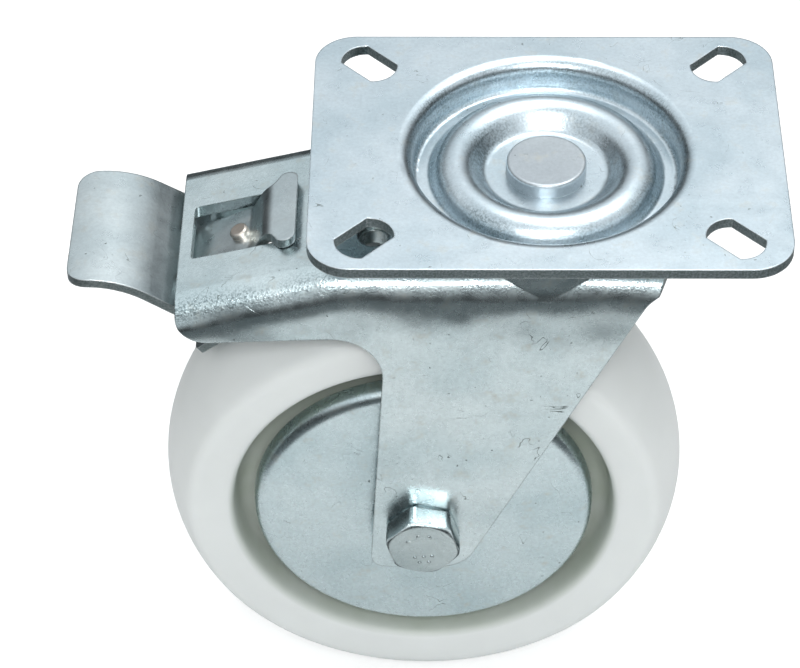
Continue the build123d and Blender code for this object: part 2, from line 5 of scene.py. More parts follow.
import bpy
import numpy as np
from mathutils import Matrix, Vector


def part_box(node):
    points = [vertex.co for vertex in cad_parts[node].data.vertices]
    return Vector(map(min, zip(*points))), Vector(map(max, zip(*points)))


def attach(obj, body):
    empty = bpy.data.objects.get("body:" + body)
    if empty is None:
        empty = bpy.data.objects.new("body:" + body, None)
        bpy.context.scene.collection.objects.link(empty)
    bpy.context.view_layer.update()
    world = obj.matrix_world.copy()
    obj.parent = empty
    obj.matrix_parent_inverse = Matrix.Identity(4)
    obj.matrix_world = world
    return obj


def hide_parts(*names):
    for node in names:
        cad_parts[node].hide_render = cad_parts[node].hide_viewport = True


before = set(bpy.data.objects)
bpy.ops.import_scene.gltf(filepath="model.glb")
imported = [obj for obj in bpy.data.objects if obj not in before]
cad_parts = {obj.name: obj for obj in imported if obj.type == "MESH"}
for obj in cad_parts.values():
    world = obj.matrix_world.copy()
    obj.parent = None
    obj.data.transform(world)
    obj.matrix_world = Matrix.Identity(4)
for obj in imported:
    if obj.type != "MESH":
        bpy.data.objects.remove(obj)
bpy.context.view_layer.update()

bl_info = {
    "name": "Braked swivel castor",
    "version": (1, 0, 0),
    "blender": (4, 5, 0),
    "location": "3D View > Sidebar > Castor",
    "description": "Dresses the packed castor with its finishes, fasteners and a pale studio stage",
    "category": "Object",
}

MM = 0.001

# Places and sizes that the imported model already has, in metres.
WHEEL_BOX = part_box("wheel")
BOLT_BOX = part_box("axle_bolt")
NUT_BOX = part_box("lock_nut")
AXLE_X = (WHEEL_BOX[0].x + WHEEL_BOX[1].x) / 2
AXLE_Z = (WHEEL_BOX[0].z + WHEEL_BOX[1].z) / 2
FLOOR_Z = WHEEL_BOX[0].z

# Where the fork's tail starts to fall, and how far it falls for each length behind that place.
TAIL_START = -48.3 * MM
TAIL_FALL = 0.264
# The fork's upper bend fades into its flanks below this depth, over this length.
FADE_TOP = 19.5 * MM
FADE_LENGTH = 4.4 * MM
# Soft dimples in the fork's flanks: x, z, half width and depth, in millimetres.
DIMPLES = ((-19, -26, 3.2, 0.30), (-4, -29, 4.0, 0.16), (12, -28, 5.0, 0.2))
# Marks on the bolt's head: x and z from the axle, half length and half width in millimetres, turn in degrees.
HEAD_MARKS = ((-3.4, 2.6, 0.75, 0.42, 20), (-1.2, 4.4, 0.8, 0.42, 75), (1.6, 4.2, 0.75, 0.42, 115),
              (-1.9, -2.9, 0.5, 0.5, 0), (0.2, -2.6, 0.5, 0.5, 0), (2.2, -2.4, 0.5, 0.5, 0),
              (-0.8, -4.6, 0.5, 0.5, 0), (1.4, -4.5, 0.5, 0.5, 0))


# ---------------------------------------------------------------- small helpers


def linear(code):
    """sRGB hex value to linear red, green, blue, alpha."""
    channels = [int(code.lstrip("#")[i:i + 2], 16) / 255 for i in (0, 2, 4)]
    return tuple(c / 12.92 if c <= 0.04045 else ((c + 0.055) / 1.055) ** 2.4 for c in channels) + (1.0,)


WORN_EDGE = linear("#F2F6F6")
# Dark painted shade laid along the fork's edges to outline them.
PAINTED_EDGE_SHADE = linear("#6A7472")
PIT = linear("#5B625E")
# Dark specks of painted shade for the grain on bends.
PAINTED_GRAIN_SHADE = linear("#4E6064")
SHEARED = linear("#6F7A7A")


def add_node(tree, kind, inputs=None, out=0, **settings):
    """Add a node, set its settings, and set or link its inputs. Returns the output socket named out."""
    node = tree.nodes.new(kind)
    for key, value in settings.items():
        setattr(node, key, value)
    for key, value in (inputs or {}).items():
        if isinstance(value, bpy.types.NodeSocket):
            tree.links.new(value, node.inputs[key])
        else:
            node.inputs[key].default_value = value
    return node.outputs[out] if len(node.outputs) else node


def blend(tree, share, first, second, blend_type="MIX"):
    """Mix two colours by a share, and return the mixed colour's socket."""
    return add_node(tree, "ShaderNodeMix", {0: share, 6: first, 7: second}, out=2, data_type="RGBA",
                    blend_type=blend_type)


def new_material(name):
    """An empty node material and its tree."""
    material = bpy.data.materials.new(name)
    material.use_nodes = True
    material.node_tree.nodes.clear()
    return material, material.node_tree


def dress(node, material):
    """Give a CAD node one material on all of its slots."""
    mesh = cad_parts[node].data
    mesh.materials.clear()
    mesh.materials.append(material)


def surface(name, points, body, material, stands_for=()):
    """A closed grid of rows by columns by 3: columns run round, and fans close the first and last rows.

    Each cell of the grid is one quad; every end row shrinks to its mean point.
    """
    rows, columns = points.shape[:2]
    vertices = np.concatenate([points.reshape(-1, 3), points[:1].mean(1), points[-1:].mean(1)])
    row, column = np.meshgrid(np.arange(rows - 1), np.arange(columns), indexing="ij")
    after = (column + 1) % columns
    quads = np.stack([row * columns + column, row * columns + after,
                      (row + 1) * columns + after, (row + 1) * columns + column], -1).reshape(-1, 4)
    ring = np.arange(columns)
    first = np.stack([np.full(columns, rows * columns), (ring + 1) % columns, ring], -1)
    last_start = (rows - 1) * columns
    last = np.stack([np.full(columns, rows * columns + 1), last_start + ring,
                     last_start + (ring + 1) % columns], -1)
    mesh = bpy.data.meshes.new(name)
    loops = np.concatenate([quads.ravel(), first.ravel(), last.ravel()]).astype(np.int32)
    sizes = np.concatenate([np.full(len(quads), 4), np.full(2 * columns, 3)]).astype(np.int32)
    mesh.vertices.add(len(vertices))
    mesh.vertices.foreach_set("co", vertices.astype(np.float32).ravel())
    mesh.loops.add(len(loops))
    mesh.loops.foreach_set("vertex_index", loops)
    mesh.polygons.add(len(sizes))
    mesh.polygons.foreach_set("loop_start", (np.cumsum(sizes) - sizes).astype(np.int32))
    mesh.polygons.foreach_set("use_smooth", np.ones(len(sizes), bool))
    mesh.update(calc_edges=True)
    mesh.validate()
    mesh.materials.append(material)
    piece = bpy.data.objects.new(name, mesh)
    bpy.context.scene.collection.objects.link(piece)
    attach(piece, body)
    if stands_for:
        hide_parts(*stands_for)
    return piece


def eased(corners, per_corner=4):
    """A polyline (radius, height, rounding) with each corner replaced by a small arc, as radius and height.

    Between corners the line is straight; the arc is a quadratic curve whose ends lie the rounding's
    length back along each side.
    """
    corners = np.asarray(corners, float)
    place, rounding = corners[:, :2], corners[:, 2]
    before = place[:-2] - place[1:-1]
    after = place[2:] - place[1:-1]
    before /= np.linalg.norm(before, axis=1)[:, None]
    after /= np.linalg.norm(after, axis=1)[:, None]
    start = place[1:-1] + before * rounding[1:-1, None]
    end = place[1:-1] + after * rounding[1:-1, None]
    t = np.linspace(0, 1, per_corner)[None, :, None]
    arcs = ((1 - t) ** 2 * start[:, None] + 2 * t * (1 - t) * place[1:-1, None] + t ** 2 * end[:, None])
    return np.concatenate([place[:1], arcs.reshape(-1, 2), place[-1:]])


def hexagon_reach(angle, across_flats, turn, corner_round=0.35):
    """Distance from the middle to a hexagon's side at an angle, with its corners slightly rounded.

    Half the width across flats over the cosine of the angle from the nearest flat's middle, held
    under the corner by the rounding. turn is the direction of one corner.
    """
    from_flat = (angle - turn) % (math.pi / 3) - math.pi / 6
    reach = across_flats / 2 / np.cos(from_flat)
    return np.minimum(reach, across_flats / 2 / math.cos(math.pi / 6) - corner_round * MM)


def around_axle(radius, along, angle):
    """Points round the axle: each row's radius and place along the axle, at each angle."""
    radius, along, angle = np.broadcast_arrays(radius, along, angle)
    return np.stack([AXLE_X + radius * np.cos(angle), along, AXLE_Z + radius * np.sin(angle)], -1)


# ---------------------------------------------------------------- finishes


def pit_and_hairline_share(tree, place, wide, specks, scratches):
    """Handling marks on a plated sheet: small irregular pits and hairline scratches, as one share.

    Pits are the middles of warped 2.1 mm cells, a few in each square centimetre. Hairlines are level
    lines of a warped 16 mm field, kept only in patches.
    """
    jolt = add_node(tree, "ShaderNodeTexNoise",
                    {"Vector": place, "Scale": 1 / (0.8 * MM), "Detail": 2.0}, out="Color")
    jolted = add_node(tree, "ShaderNodeVectorMath", {0: jolt, 1: (1.1 * MM,) * 3, 2: place},
                      operation="MULTIPLY_ADD")
    cell = add_node(tree, "ShaderNodeTexVoronoi", {"Vector": jolted, "Scale": 1 / (2.1 * MM)})
    chance = add_node(tree, "ShaderNodeSeparateColor", {0: cell.node.outputs["Color"]})
    size = add_node(tree, "ShaderNodeMapRange",
                    {0: chance, 1: 1 - 0.32 * specks, 2: 1.0, 3: 0.0, 4: 0.16})
    pit = add_node(tree, "ShaderNodeMath", {0: cell, 1: size}, operation="LESS_THAN")
    crowd = add_node(tree, "ShaderNodeMapRange", {0: wide, 1: 0.40, 2: 0.60, 3: 0.15, 4: 0.8})
    pit = add_node(tree, "ShaderNodeMath", {0: pit, 1: crowd}, operation="MULTIPLY")
    warp = add_node(tree, "ShaderNodeTexNoise",
                    {"Vector": place, "Scale": 1 / (16 * MM), "Detail": 3.5, "Distortion": 0.8})
    level = add_node(tree, "ShaderNodeMath", {0: warp, 1: 0.5, 2: 0.0016 * scratches}, operation="COMPARE")
    patch = add_node(tree, "ShaderNodeTexNoise", {"Vector": place, "Scale": 1 / (7 * MM), "Detail": 2.0})
    patch = add_node(tree, "ShaderNodeMapRange", {0: patch, 1: 0.55, 2: 0.62, 3: 0.0, 4: 0.7})
    hairline = add_node(tree, "ShaderNodeMath", {0: level, 1: patch}, operation="MULTIPLY")
    return add_node(tree, "ShaderNodeMath", {0: pit, 1: hairline}, operation="MAXIMUM")


def bend_share(tree, away, flats):
    """How far a face is turned from the axes that flat sheet faces: 0 on flats, 1 halfway round a bend."""
    faced = add_node(tree, "ShaderNodeVectorMath", {0: away, 1: flats}, operation="MULTIPLY")
    x = add_node(tree, "ShaderNodeSeparateXYZ", {0: faced})
    largest = add_node(tree, "ShaderNodeMath", {0: x, 1: x.node.outputs[1]}, operation="MAXIMUM")
    largest = add_node(tree, "ShaderNodeMath", {0: largest, 1: x.node.outputs[2]}, operation="MAXIMUM")
    return add_node(tree, "ShaderNodeMapRange", {0: largest, 1: 0.985, 2: 0.78, 3: 0.0, 4: 1.0})


def grain_shade_share(tree, grit, wide, bend, strength):
    """Painted shade of the grain on bent skin: dark specks, thicker in some patches than in others."""
    shaded_speck = add_node(tree, "ShaderNodeMapRange", {0: grit, 1: 0.44, 2: 0.60, 3: 0.0, 4: strength})
    shaded_speck = add_node(tree, "ShaderNodeMath", {0: shaded_speck, 1: bend}, operation="MULTIPLY", use_clamp=True)
    thick = add_node(tree, "ShaderNodeMapRange", {0: wide, 1: 0.38, 2: 0.60, 3: 0.25, 4: 1.0})
    return add_node(tree, "ShaderNodeMath", {0: shaded_speck, 1: thick}, operation="MULTIPLY")


def sheared_share(tree, place, away, axes, least, start):
    """Sheared faces: the normal's sum along the axes reaches the least, beyond start from the swivel."""
    share = add_node(tree, "ShaderNodeVectorMath", {0: away, 1: axes}, out="Value", operation="DOT_PRODUCT")
    sheared = add_node(tree, "ShaderNodeMapRange", {0: share, 1: least - 0.1, 2: least, 3: 0.0, 4: 1.0})
    plan = add_node(tree, "ShaderNodeVectorMath", {0: place, 1: (1.0, 1.0, 0.0)}, operation="MULTIPLY")
    plan = add_node(tree, "ShaderNodeVectorMath", {0: plan}, out="Value", operation="LENGTH")
    beyond = add_node(tree, "ShaderNodeMath", {0: plan, 1: start * MM}, operation="GREATER_THAN")
    return add_node(tree, "ShaderNodeMath", {0: sheared, 1: beyond}, operation="MULTIPLY")


def zinc_finish(name, pale, deep, stain, roughness=0.3, grain=1.0, bend_grain_and_shade=1.0, specks=1.0,
                scratches=1.0, flats=(1.0, 1.0, 1.0), cut=None, corner=WORN_EDGE, dents=None):
    """Bright zinc plating, blue passivated, on pressed steel sheet.

    The plating gives a pale, slightly cyan metal whose colour drifts over centimetres. Stretched metal at
    bends shows a coarser grain, whose shade is painted in as darker flecks. Handling leaves hairline
    scratches and small dark pits, and wears corners to the corner colour; on the fork the corner colour is
    a dark painted shade along its edges. Sheared faces are duller and darker, with streaks through the
    sheet. flats names the axes that flat sheet faces; cut holds what sheared_share needs, its last number
    in millimetres; dents adds a piece's own relief.
    """
    material, tree = new_material(name)
    place = add_node(tree, "ShaderNodeTexCoord", out="Object")
    away = add_node(tree, "ShaderNodeVectorMath", {0: place.node.outputs["Normal"]}, operation="ABSOLUTE")
    bend = bend_share(tree, away, flats)

    # Noises by size: patches of 22 mm and 5 mm, the skin's spangle of 0.9 mm, and grit. The real grit of
    # about 0.2 mm is drawn at 0.5 mm, because finer grit would not show.
    wide = add_node(tree, "ShaderNodeTexNoise", {"Vector": place, "Scale": 1 / (22 * MM), "Detail": 3.0})
    middle = add_node(tree, "ShaderNodeTexNoise",
                      {"Vector": place, "Scale": 1 / (5 * MM), "Detail": 5.0, "Roughness": 0.65})
    mottle = add_node(tree, "ShaderNodeTexNoise",
                      {"Vector": place, "Scale": 1 / (0.9 * MM), "Detail": 4.0, "Roughness": 0.7})
    grit = add_node(tree, "ShaderNodeTexNoise",
                    {"Vector": place, "Scale": 1 / (0.5 * MM), "Detail": 3.0, "Roughness": 0.6})

    # Colour: cloudy drift, stains, spangle, marks, and painted shade of the grain on bends.
    drift = add_node(tree, "ShaderNodeMapRange", {0: wide, 1: 0.38, 2: 0.64, 3: 0.0, 4: 1.0})
    colour = blend(tree, drift, pale, deep)
    blotch = add_node(tree, "ShaderNodeMapRange", {0: middle, 1: 0.57, 2: 0.75, 3: 0.0, 4: 0.5})
    colour = blend(tree, blotch, colour, stain)
    shade = add_node(tree, "ShaderNodeMapRange", {0: mottle, 1: 0.25, 2: 0.75, 3: 0.88, 4: 1.08})
    colour = blend(tree, 1.0, colour, shade, blend_type="MULTIPLY")
    marks = pit_and_hairline_share(tree, place, wide, specks, scratches)
    colour = blend(tree, marks, colour, PIT)
    # Painted shade: dark specks on bends stand in for the shade of the stretched skin's grain.
    colour = blend(tree, grain_shade_share(tree, grit, wide, bend, 0.55 * bend_grain_and_shade), colour, PAINTED_GRAIN_SHADE)

    # Relief in metres: grit, slow waves of 9 mm, the marks as shallow dents, and the piece's own dents.
    grit_depth = add_node(tree, "ShaderNodeMath",
                          {0: bend, 1: 0.05 * MM * bend_grain_and_shade, 2: 0.005 * MM * grain},
                          operation="MULTIPLY_ADD")
    relief = add_node(tree, "ShaderNodeMath", {0: grit, 1: grit_depth}, operation="MULTIPLY")
    wave = add_node(tree, "ShaderNodeTexNoise", {"Vector": place, "Scale": 1 / (9 * MM), "Detail": 1.5})
    relief = add_node(tree, "ShaderNodeMath", {0: wave, 1: 0.10 * MM, 2: relief}, operation="MULTIPLY_ADD")
    relief = add_node(tree, "ShaderNodeMath", {0: marks, 1: -0.012 * MM, 2: relief},
                      operation="MULTIPLY_ADD")
    if dents:
        relief = dents(tree, place, relief)
    rounded = add_node(tree, "ShaderNodeBevel", {"Radius": 0.45 * MM}, samples=4)
    normal = add_node(tree, "ShaderNodeBump", {"Strength": 1.0, "Distance": 1.0, "Height": relief,
                                               "Normal": rounded})

    # Edges, where the rounded normal leaves the face's own, take the corner colour: mostly pale wear; on the
    # fork, a dark painted shade.
    face = add_node(tree, "ShaderNodeNewGeometry", out="Normal")
    agree = add_node(tree, "ShaderNodeVectorMath", {0: rounded, 1: face}, out="Value",
                     operation="DOT_PRODUCT")
    edge = add_node(tree, "ShaderNodeMapRange", {0: agree, 1: 0.995, 2: 0.86, 3: 0.0, 4: 1.3})
    edge = add_node(tree, "ShaderNodeMath", {0: edge, 1: mottle}, operation="MULTIPLY")
    colour = blend(tree, edge, colour, corner)
    rough = add_node(tree, "ShaderNodeMapRange",
                     {0: middle, 1: 0.3, 2: 0.7, 3: roughness - 0.05, 4: roughness + 0.07})
    rough = add_node(tree, "ShaderNodeMath", {0: marks, 1: 0.25, 2: rough}, operation="MULTIPLY_ADD")
    if cut:
        sheared = sheared_share(tree, place, away, *cut)
        streak = add_node(tree, "ShaderNodeMapRange", {0: grit, 1: 0.3, 2: 0.7, 3: 0.55, 4: 1.0})
        dull = add_node(tree, "ShaderNodeMath", {0: sheared, 1: streak}, operation="MULTIPLY")
        # Share off the edges; the edges carry pale wear, and on the fork a dark painted shade.
        off_edge = add_node(tree, "ShaderNodeMath", {0: 1.0, 1: edge}, operation="SUBTRACT")
        dull = add_node(tree, "ShaderNodeMath", {0: dull, 1: off_edge}, operation="MULTIPLY")
        colour = blend(tree, dull, colour, SHEARED)
        rough = add_node(tree, "ShaderNodeMath", {0: sheared, 1: 0.18, 2: rough}, operation="MULTIPLY_ADD")
    shader = add_node(tree, "ShaderNodeBsdfPrincipled",
                      {"Base Color": colour, "Metallic": 1.0, "Roughness": rough, "Normal": normal})
    add_node(tree, "ShaderNodeOutputMaterial", {"Surface": shader})
    return material


def fork_dents(tree, place, relief):
    """What pressing leaves on the fork's flanks: the upper bend fades out unevenly, and soft dimples lie
    under the turret.

    Below the fade's top the surface stands out by one less a bell curve of the depth, times a slow noise
    along the fork. The depth follows the tail's fall. Each dimple is a bell curve round its middle.
    """
    split = add_node(tree, "ShaderNodeSeparateXYZ", {0: place})
    behind = add_node(tree, "ShaderNodeMath", {0: TAIL_START, 1: split}, operation="SUBTRACT")
    behind = add_node(tree, "ShaderNodeMath", {0: behind, 1: 0.0}, operation="MAXIMUM")
    depth = add_node(tree, "ShaderNodeMath", {0: behind, 1: TAIL_FALL, 2: split.node.outputs[2]},
                     operation="MULTIPLY_ADD")
    depth = add_node(tree, "ShaderNodeMath", {0: depth, 1: -1 / FADE_LENGTH, 2: -FADE_TOP / FADE_LENGTH},
                     operation="MULTIPLY_ADD")
    depth = add_node(tree, "ShaderNodeMath", {0: depth, 1: 0.0}, operation="MAXIMUM")
    fall = add_node(tree, "ShaderNodeMath", {0: depth, 1: depth}, operation="MULTIPLY")
    fall = add_node(tree, "ShaderNodeMath", {0: fall, 1: -1.0}, operation="MULTIPLY")
    fade = add_node(tree, "ShaderNodeMath", {0: fall}, operation="EXPONENT")
    fade = add_node(tree, "ShaderNodeMath", {0: 1.0, 1: fade}, operation="SUBTRACT")
    sway = add_node(tree, "ShaderNodeTexNoise", {"Vector": place, "Scale": 1 / (26 * MM), "Detail": 0.5})
    sway = add_node(tree, "ShaderNodeMapRange", {0: sway, 1: 0.35, 2: 0.65, 3: 0.9 * MM, 4: 2.0 * MM})
    relief = add_node(tree, "ShaderNodeMath", {0: fade, 1: sway, 2: relief}, operation="MULTIPLY_ADD")
    for x, z, wide, deep in DIMPLES:
        far = add_node(tree, "ShaderNodeVectorMath", {0: place, 1: (1.0, 0.0, 1.0)}, operation="MULTIPLY")
        far = add_node(tree, "ShaderNodeVectorMath", {0: far, 1: (x * MM, 0.0, z * MM)}, out="Value",
                       operation="DISTANCE")
        far = add_node(tree, "ShaderNodeMath", {0: far, 1: 1 / (wide * MM)}, operation="MULTIPLY")
        far = add_node(tree, "ShaderNodeMath", {0: far, 1: far}, operation="MULTIPLY")
        far = add_node(tree, "ShaderNodeMath", {0: far, 1: -1.0}, operation="MULTIPLY")
        bell = add_node(tree, "ShaderNodeMath", {0: far}, operation="EXPONENT")
        relief = add_node(tree, "ShaderNodeMath", {0: bell, 1: -deep * MM, 2: relief},
                          operation="MULTIPLY_ADD")
    return relief


def nylon_finish(name, face, groove):
    """White moulded nylon 6: a milky, slightly translucent plastic with a satin skin and soft sheen.

    The mould leaves a fine even texture; the groove round the hub is darkened to olive grey by painted shade.
    """
    material, tree = new_material(name)
    place = add_node(tree, "ShaderNodeTexCoord", out="Object")
    from_axle = add_node(tree, "ShaderNodeMapping", {"Vector": place, "Location": (-AXLE_X, 0.0, -AXLE_Z)})
    flat = add_node(tree, "ShaderNodeVectorMath", {0: from_axle, 1: (1.0, 0.0, 1.0)}, operation="MULTIPLY")
    radius = add_node(tree, "ShaderNodeVectorMath", {0: flat}, out="Value", operation="LENGTH")
    cloud = add_node(tree, "ShaderNodeTexNoise", {"Vector": place, "Scale": 1 / (14 * MM), "Detail": 4.0})
    # Painted shade: within about 46 mm of the axle the groove round the hub is darkened to olive grey in
    # clouds.
    inside = add_node(tree, "ShaderNodeMapRange",
                      {0: radius, 1: 47.0 * MM, 2: 45.2 * MM, 3: 0.0, 4: 1.0})
    groove_shade = add_node(tree, "ShaderNodeMapRange", {0: cloud, 1: 0.3, 2: 0.7, 3: 0.55, 4: 0.95})
    groove_shade = add_node(tree, "ShaderNodeMath", {0: groove_shade, 1: inside}, operation="MULTIPLY")
    colour = blend(tree, groove_shade, face, groove)
    shade = add_node(tree, "ShaderNodeMapRange", {0: cloud, 1: 0.3, 2: 0.7, 3: 0.975, 4: 1.015})
    colour = blend(tree, 1.0, colour, shade, blend_type="MULTIPLY")
    skin = add_node(tree, "ShaderNodeTexNoise", {"Vector": place, "Scale": 1 / (0.7 * MM), "Detail": 2.0})
    wave = add_node(tree, "ShaderNodeTexNoise", {"Vector": place, "Scale": 1 / (11 * MM), "Detail": 1.0})
    relief = add_node(tree, "ShaderNodeMath", {0: skin, 1: 0.004 * MM}, operation="MULTIPLY")
    relief = add_node(tree, "ShaderNodeMath", {0: wave, 1: 0.08 * MM, 2: relief}, operation="MULTIPLY_ADD")
    soft = add_node(tree, "ShaderNodeBevel", {"Radius": 3.5 * MM}, samples=8)
    normal = add_node(tree, "ShaderNodeBump", {"Distance": 1.0, "Height": relief, "Normal": soft})
    rough = add_node(tree, "ShaderNodeMapRange", {0: cloud, 1: 0.3, 2: 0.7, 3: 0.36, 4: 0.48})
    shader = add_node(tree, "ShaderNodeBsdfPrincipled",
                      {"Base Color": colour, "Roughness": rough, "IOR": 1.53, "Normal": normal,
                       "Subsurface Weight": 0.25, "Subsurface Radius": (1.0, 1.0, 0.9),
                       "Subsurface Scale": 3 * MM})
    add_node(tree, "ShaderNodeOutputMaterial", {"Surface": shader})
    return material


def bearing_finish(name, tint):
    """Ground bearing steel under a film of grease: darker and smoother than the plated sheet."""
    material, tree = new_material(name)
    place = add_node(tree, "ShaderNodeTexCoord", out="Object")
    film = add_node(tree, "ShaderNodeTexNoise", {"Vector": place, "Scale": 1 / (3 * MM), "Detail": 4.0})
    colour = blend(tree, film, linear(tint), linear("#6E675A"))
    lines = add_node(tree, "ShaderNodeTexNoise", {"Vector": place, "Scale": 1 / (0.4 * MM), "Detail": 2.0})
    relief = add_node(tree, "ShaderNodeMath", {0: lines, 1: 0.003 * MM}, operation="MULTIPLY")
    normal = add_node(tree, "ShaderNodeBump", {"Distance": 1.0, "Height": relief})
    rough = add_node(tree, "ShaderNodeMapRange", {0: film, 1: 0.3, 2: 0.7, 3: 0.18, 4: 0.34})
    shader = add_node(tree, "ShaderNodeBsdfPrincipled",
                      {"Base Color": colour, "Metallic": 1.0, "Roughness": rough, "Normal": normal})
    add_node(tree, "ShaderNodeOutputMaterial", {"Surface": shader})
    return material


def insert_finish(name, tint):
    """Nylon locking ring of the nut: plain moulded polyamide with a faint tool texture."""
    material, tree = new_material(name)
    place = add_node(tree, "ShaderNodeTexCoord", out="Object")
    cloud = add_node(tree, "ShaderNodeTexNoise", {"Vector": place, "Scale": 1 / (1.5 * MM), "Detail": 3.0})
    colour = blend(tree, cloud, linear(tint), linear("#9FA6A4"))
    relief = add_node(tree, "ShaderNodeMath", {0: cloud, 1: 0.03 * MM}, operation="MULTIPLY")
    normal = add_node(tree, "ShaderNodeBump", {"Distance": 1.0, "Height": relief})
    shader = add_node(tree, "ShaderNodeBsdfPrincipled",
                      {"Base Color": colour, "Roughness": 0.45, "IOR": 1.53, "Normal": normal})
    add_node(tree, "ShaderNodeOutputMaterial", {"Surface": shader})
    return material


# ---------------------------------------------------------------- settings


def colour_setting(name, text, code):
    """A colour swatch whose default is given as an sRGB hex value."""
    return bpy.props.FloatVectorProperty(name=name, description=text, default=linear(code), size=4,
                                         min=0.0, max=1.0, subtype="COLOR")


class CastorFinishes(bpy.types.PropertyGroup):
    """Colours of the castor's finishes."""
    plate_pale: colour_setting("Plate, pale", "Palest colour of the mounting plate's plating", "#CFDAE0")
    plate_deep: colour_setting("Plate, deep", "Deeper colour that drifts through it", "#C0CED5")
    plate_stain: colour_setting("Plate, stain", "Faint stains in the plate's plating", "#C3C2BA")
    fork_pale: colour_setting("Fork, pale", "Palest colour of the fork's plating", "#D8E4E6")
    fork_deep: colour_setting("Fork, deep", "Deeper colour that drifts through it", "#C9D8DB")
    fork_stain: colour_setting("Fork, stain", "Faint stains in the fork's plating", "#C7C5B8")
    rocker_pale: colour_setting("Pedal, pale", "Palest colour of the brake pedal's plating", "#CED7D9")
    rocker_deep: colour_setting("Pedal, deep", "Deeper colour that drifts through it", "#C0CBCE")
    guard_pale: colour_setting("Guard, pale", "Palest colour of the thread guards' plating", "#D4E2E5")
    guard_deep: colour_setting("Guard, deep", "Deeper colour that drifts through it", "#C4D5D9")
    bolt_pale: colour_setting("Bolt, pale", "Palest colour of the bolt's and nut's plating", "#C4CFD0")
    bolt_deep: colour_setting("Bolt, deep", "Deeper colour that drifts through it", "#AAB7B9")
    pin_pale: colour_setting("King pin, pale", "Palest colour of the king pin's head", "#BCC3C7")
    pin_deep: colour_setting("King pin, deep", "Deeper colour that drifts through it", "#B0B7BC")
    rivet_pale: colour_setting("Rivet, pale", "Palest colour of the brake rivet's copper wash", "#D2C8BE")
    rivet_deep: colour_setting("Rivet, deep", "Deeper colour that drifts through it", "#C0B3A6")
    nylon_face: colour_setting("Nylon", "Colour of the wheel's nylon", "#E0E4E3")
    # Painted shade in the groove round the hub.
    nylon_groove_shade: colour_setting("Nylon groove", "Painted shade in the groove round the hub", "#AEB8AA")


class CastorSizes(bpy.types.PropertyGroup):
    """Sizes of the axle bolt and its nut."""
    across_flats: bpy.props.FloatProperty(
        name="Across flats", description="Width of the bolt's head and of the nut across their flats",
        default=16 * MM, subtype="DISTANCE", unit="LENGTH")
    head_height: bpy.props.FloatProperty(
        name="Head height", description="Height of the bolt's head", default=6.4 * MM, subtype="DISTANCE",
        unit="LENGTH")
    hexagon_turn: bpy.props.FloatProperty(
        name="Hexagon turn", description="How far the bolt's head is turned", default=math.radians(-13.3),
        subtype="ANGLE", unit="ROTATION")
    nut_turn: bpy.props.FloatProperty(
        name="Nut turn", description="How far the lock nut is turned", default=math.radians(-7),
        subtype="ANGLE", unit="ROTATION")
    thread_pitch: bpy.props.FloatProperty(
        name="Thread pitch", description="Pitch of the axle bolt's thread", default=1.5 * MM,
        subtype="DISTANCE", unit="LENGTH")
    thread_length: bpy.props.FloatProperty(
        name="Thread length", description="Length of the bolt's thread from its end", default=17 * MM,
        subtype="DISTANCE", unit="LENGTH")


class CastorStage(bpy.types.PropertyGroup):
    """Camera, lights and floor."""
    camera_place: bpy.props.FloatVectorProperty(
        name="Camera place", description="Where the camera stands", default=(-0.0234, -0.50868, 0.42946),
        subtype="TRANSLATION", unit="LENGTH")
    azimuth: bpy.props.FloatProperty(
        name="Azimuth", description="Turn of the camera's line of sight about the vertical",
        default=math.radians(1.09), subtype="ANGLE", unit="ROTATION")
    elevation: bpy.props.FloatProperty(
        name="Elevation", description="Height of the camera above the horizon", default=math.radians(43.73),
        subtype="ANGLE", unit="ROTATION")
    roll: bpy.props.FloatProperty(
        name="Roll", description="Roll of the camera about its line of sight", default=math.radians(-0.626),
        subtype="ANGLE", unit="ROTATION")
    lens: bpy.props.FloatProperty(
        name="Lens", description="Focal length on a 36 mm wide sensor, in millimetres", default=134.455)
    key_power: bpy.props.FloatProperty(
        name="Key light", description="Power of the soft box over the camera", default=8.2, unit="POWER")
    top_power: bpy.props.FloatProperty(
        name="Top light", description="Power of the soft box overhead", default=7.8, unit="POWER")
    floor_colour: colour_setting("Floor", "Colour of the floor", "#E6E7E7")


# ---------------------------------------------------------------- pieces


class CASTOR_OT_mounting_plate(bpy.types.Operator):
    """Finish the mounting plate, its king pin and the swivel head's balls and race"""
    bl_idname = "castor.mounting_plate"
    bl_label = "Mounting plate"

    def execute(self, context):
        look = context.scene.castor_finishes
        plate = zinc_finish("zinc_plated_plate", look.plate_pale, look.plate_deep, look.plate_stain,
                            roughness=0.3, specks=0.6, scratches=0.8, bend_grain_and_shade=1.0,
                            flats=(0.0, 0.0, 1.0), cut=((1.0, 1.0, 0.0), 0.9, 36))
        pin = zinc_finish("zinc_plated_king_pin", look.pin_pale, look.pin_deep, look.fork_stain,
                          roughness=0.36, bend_grain_and_shade=0.4, specks=0.8, scratches=0.5)
        steel = bearing_finish("greased_bearing_steel", "#8E9294")
        dress("top_plate", plate)
        dress("kingpin", pin)
        dress("lower_race", plate)
        dress("upper_balls", steel)
        dress("lower_balls", steel)
        return {"FINISHED"}


class CASTOR_OT_fork(bpy.types.Operator):
    """Finish the pressed fork"""
    bl_idname = "castor.fork"
    bl_label = "Fork"

    def execute(self, context):
        look = context.scene.castor_finishes
        # Its corner colour paints a dark shade along the fork's edges.
        fork = zinc_finish("zinc_plated_fork", look.fork_pale, look.fork_deep, look.fork_stain,
                           roughness=0.26, specks=1.4, scratches=1.3, grain=1.8, bend_grain_and_shade=1.25,
                           flats=(0.0, 1.0, 1.0), cut=((1.0, 0.0, 0.0), 0.5, 26), corner=PAINTED_EDGE_SHADE,
                           dents=fork_dents)
        dress("fork", fork)
        return {"FINISHED"}


